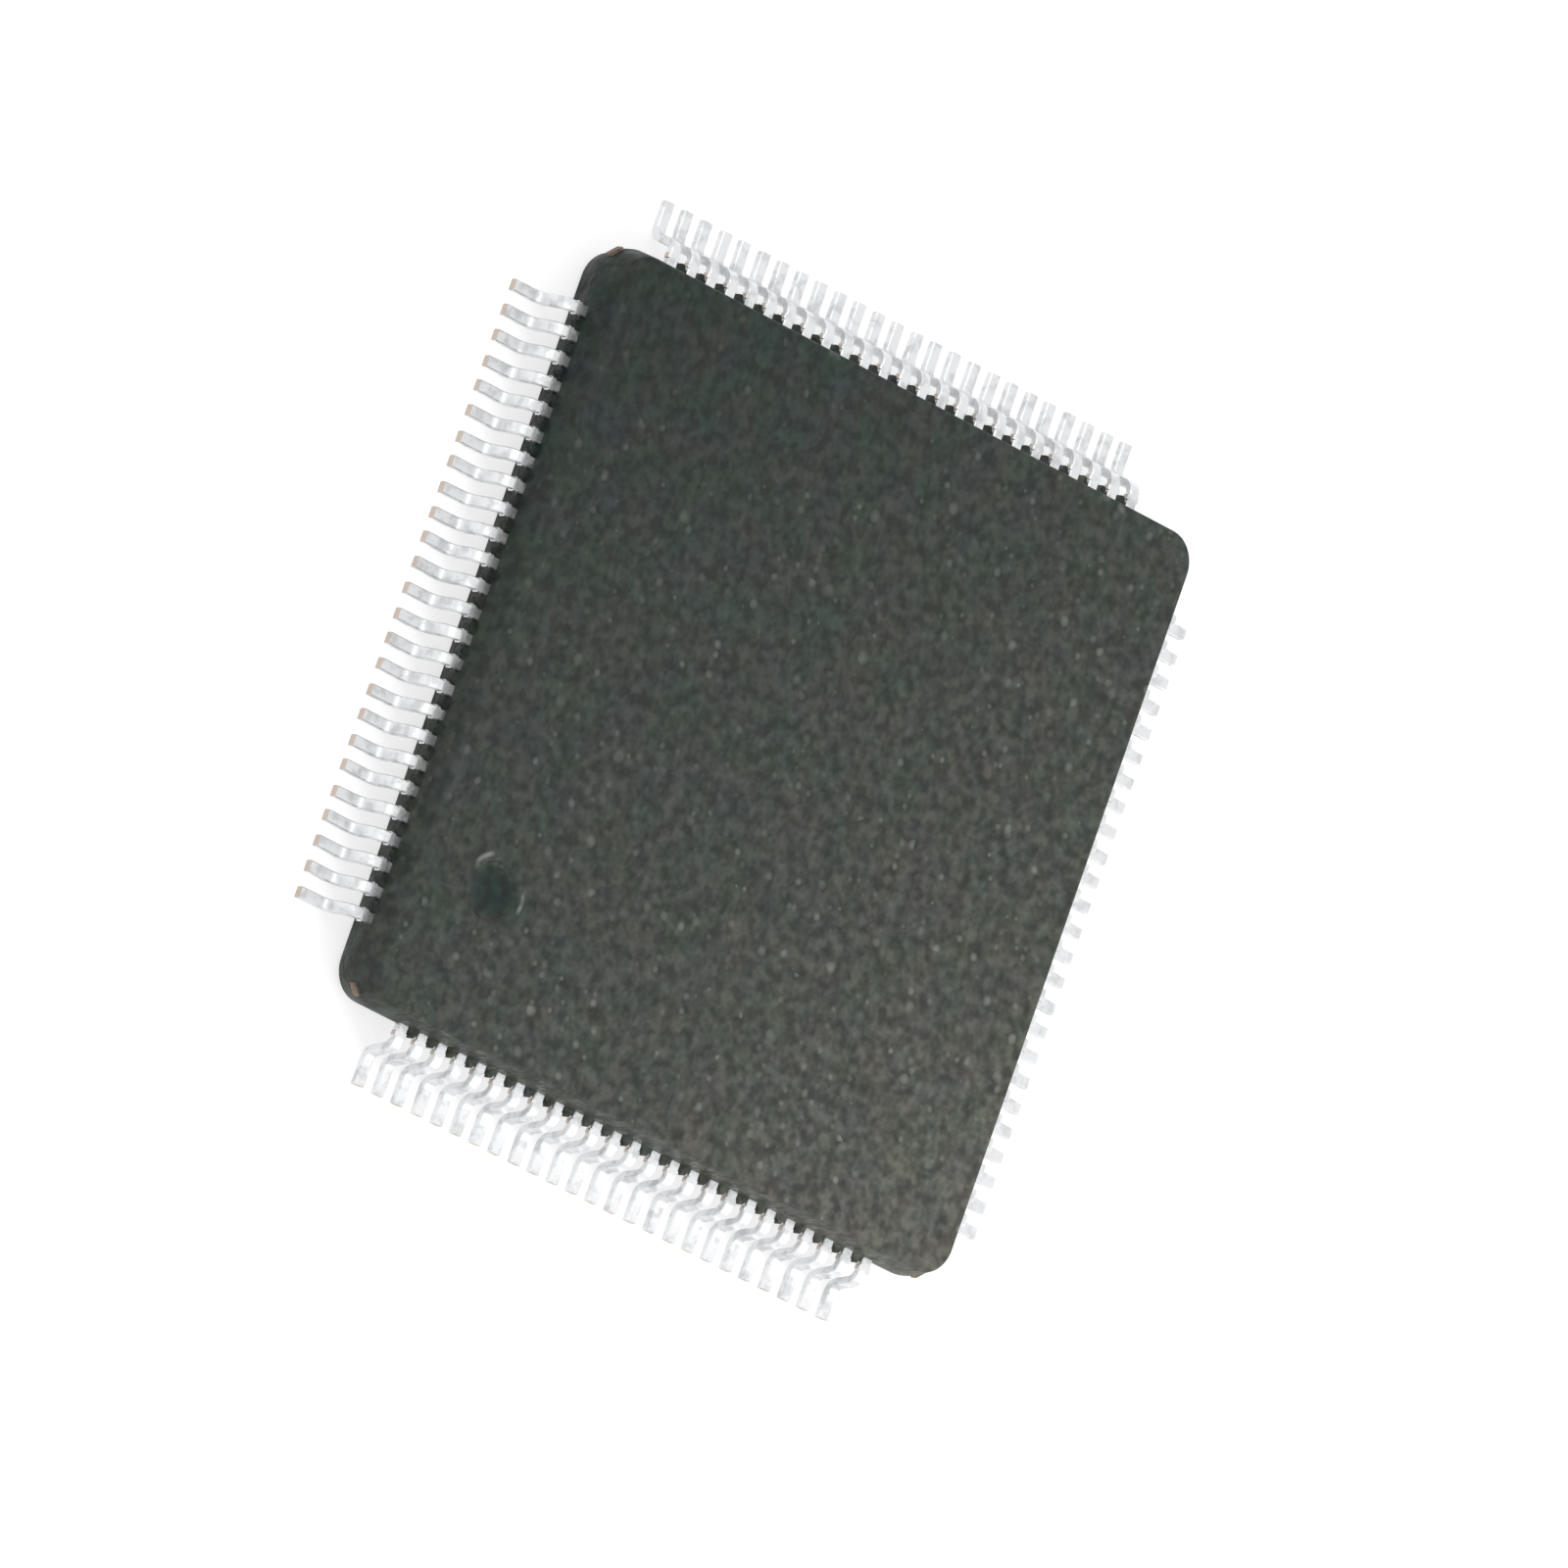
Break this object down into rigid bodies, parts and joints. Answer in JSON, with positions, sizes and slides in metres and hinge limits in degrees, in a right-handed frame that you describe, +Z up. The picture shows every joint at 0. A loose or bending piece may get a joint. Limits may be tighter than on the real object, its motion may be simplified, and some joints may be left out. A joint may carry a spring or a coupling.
{
  "type": "quad flat pack chip",
  "caption": "Thin square surface-mount chip package with a row of gull-wing leads on all four sides and a dimple that marks the first lead.",
  "frame": {"origin": "middle of the package on the seating plane, at the soles of the leads", "axes": "+Z up, away from the board; +X along the front row towards the right side; the dimple lies at -X, -Y"},
  "size_m": [0.014, 0.014, 0.0011],
  "materials": {
    "resin": "matt, fine spark-eroded grain of the mould",
    "tinned_lead": "matt tin plating on copper alloy",
    "copper_frame": "bare copper alloy sheet",
    "polyimide_tape": "clear amber film",
    "die_adhesive": "silver-filled epoxy",
    "silicon": "polished silicon",
    "gold_wire": "bright gold"
  },
  "bodies": {
    "root": {"mould_body": "resin", "lead_row_front": "tinned_lead", "lead_row_right": "tinned_lead", "lead_row_back": "tinned_lead", "lead_row_left": "tinned_lead", "die_paddle": "copper_frame", "lead_lock_tape": "polyimide_tape", "die_attach": "die_adhesive", "die": "silicon", "bond_wires_front": "gold_wire", "bond_wires_right": "gold_wire", "bond_wires_back": "gold_wire", "bond_wires_left": "gold_wire"}
  },
  "joints": []
}
